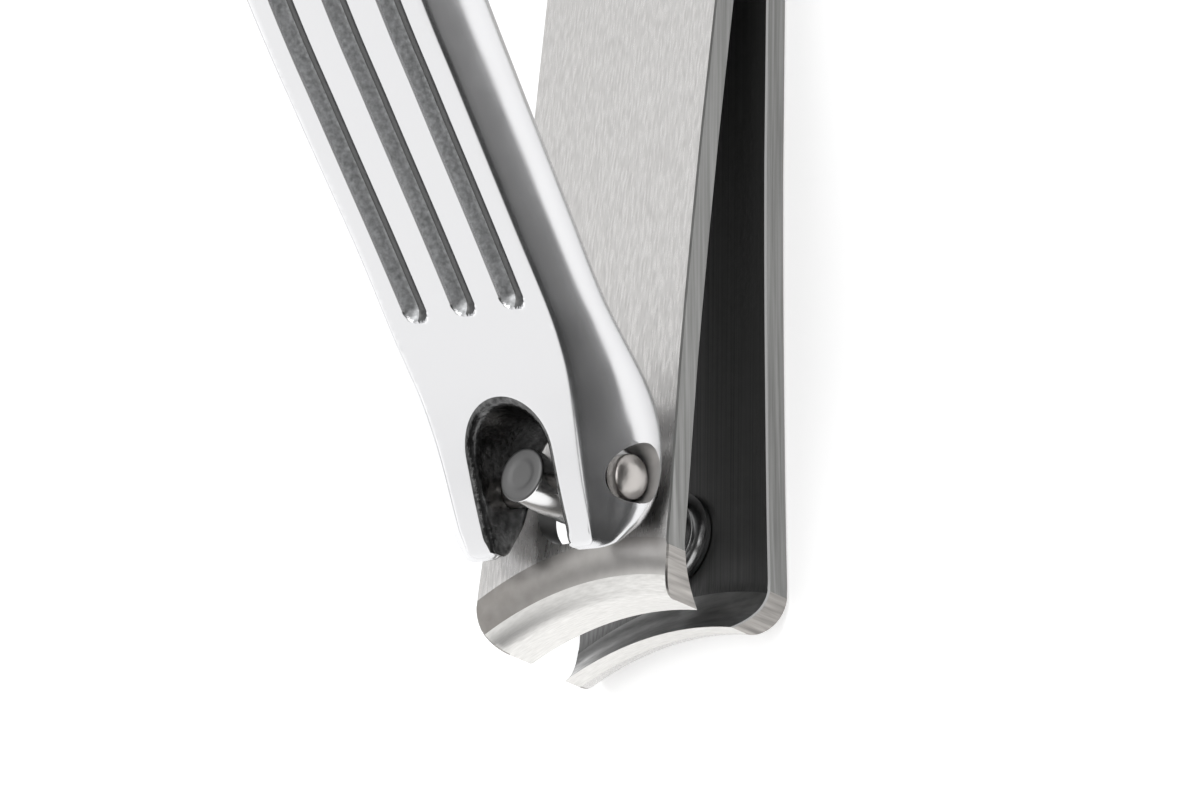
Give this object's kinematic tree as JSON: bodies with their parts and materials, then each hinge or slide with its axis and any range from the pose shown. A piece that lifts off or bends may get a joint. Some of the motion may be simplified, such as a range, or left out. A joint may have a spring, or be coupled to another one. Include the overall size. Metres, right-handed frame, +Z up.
{
  "type": "nail clipper",
  "caption": "Large lever nail clipper: two sprung steel arms with curved cutting jaws, a post and cross pin, and a forked, grooved lever that presses them shut.",
  "frame": {"origin": "middle of the lower blade's flat underside, on the clipper's long axis", "axes": "+X along the arms to the cutting edges, +Y to the right side, +Z up from the lower blade to the lever"},
  "size_m": [0.079, 0.0217, 0.0534],
  "materials": {
    "arm_steel": "stainless steel, ground along its length, with polished cutting facets",
    "turned_steel": "turned steel, matt on its end",
    "polished_steel": "polished steel",
    "lever_chrome": "chromed casting, satin to bright, darker in its grooves"
  },
  "bodies": {
    "lower_arm": {"lower_blade": "arm_steel", "front_rivet": "turned_steel", "rear_rivet": "turned_steel"},
    "upper_arm": {"upper_blade": "arm_steel"},
    "post": {"post": "turned_steel", "post_collar": "polished_steel"},
    "cross_pin": {"cross_pin": "polished_steel"},
    "lever": {"lever": "lever_chrome"}
  },
  "joints": [
    {"name": "jaw_close", "type": "hinge", "parent": "lower_arm", "child": "upper_arm", "pos_m": [-0.023, 0, 0.0015], "axis": [0, 1, 0], "range_deg": [0, 2.3], "stiffness_Nm_per_rad": 0.5},
    {"name": "post_swivel", "type": "hinge", "parent": "lower_arm", "child": "post", "pos_m": [0.032, 0, 0.005], "axis": [0, 0, 1], "continuous": true},
    {"name": "lever_lift", "type": "hinge", "parent": "post", "child": "cross_pin", "pos_m": [0.032, 0, 0.01105], "axis": [0.1702, 0.9854, 0], "range_deg": [0, 15]},
    {"name": "lever_press", "type": "hinge", "parent": "cross_pin", "child": "lever", "pos_m": [0.032, 0, 0.01105], "axis": [-0.1702, -0.9854, 0], "range_deg": [0, 37], "stiffness_Nm_per_rad": 1, "springref_deg": -8.59}
  ],
  "couplings": [
    {"joint": "jaw_close", "follows": "lever_press", "ratio": 0.062}
  ]
}
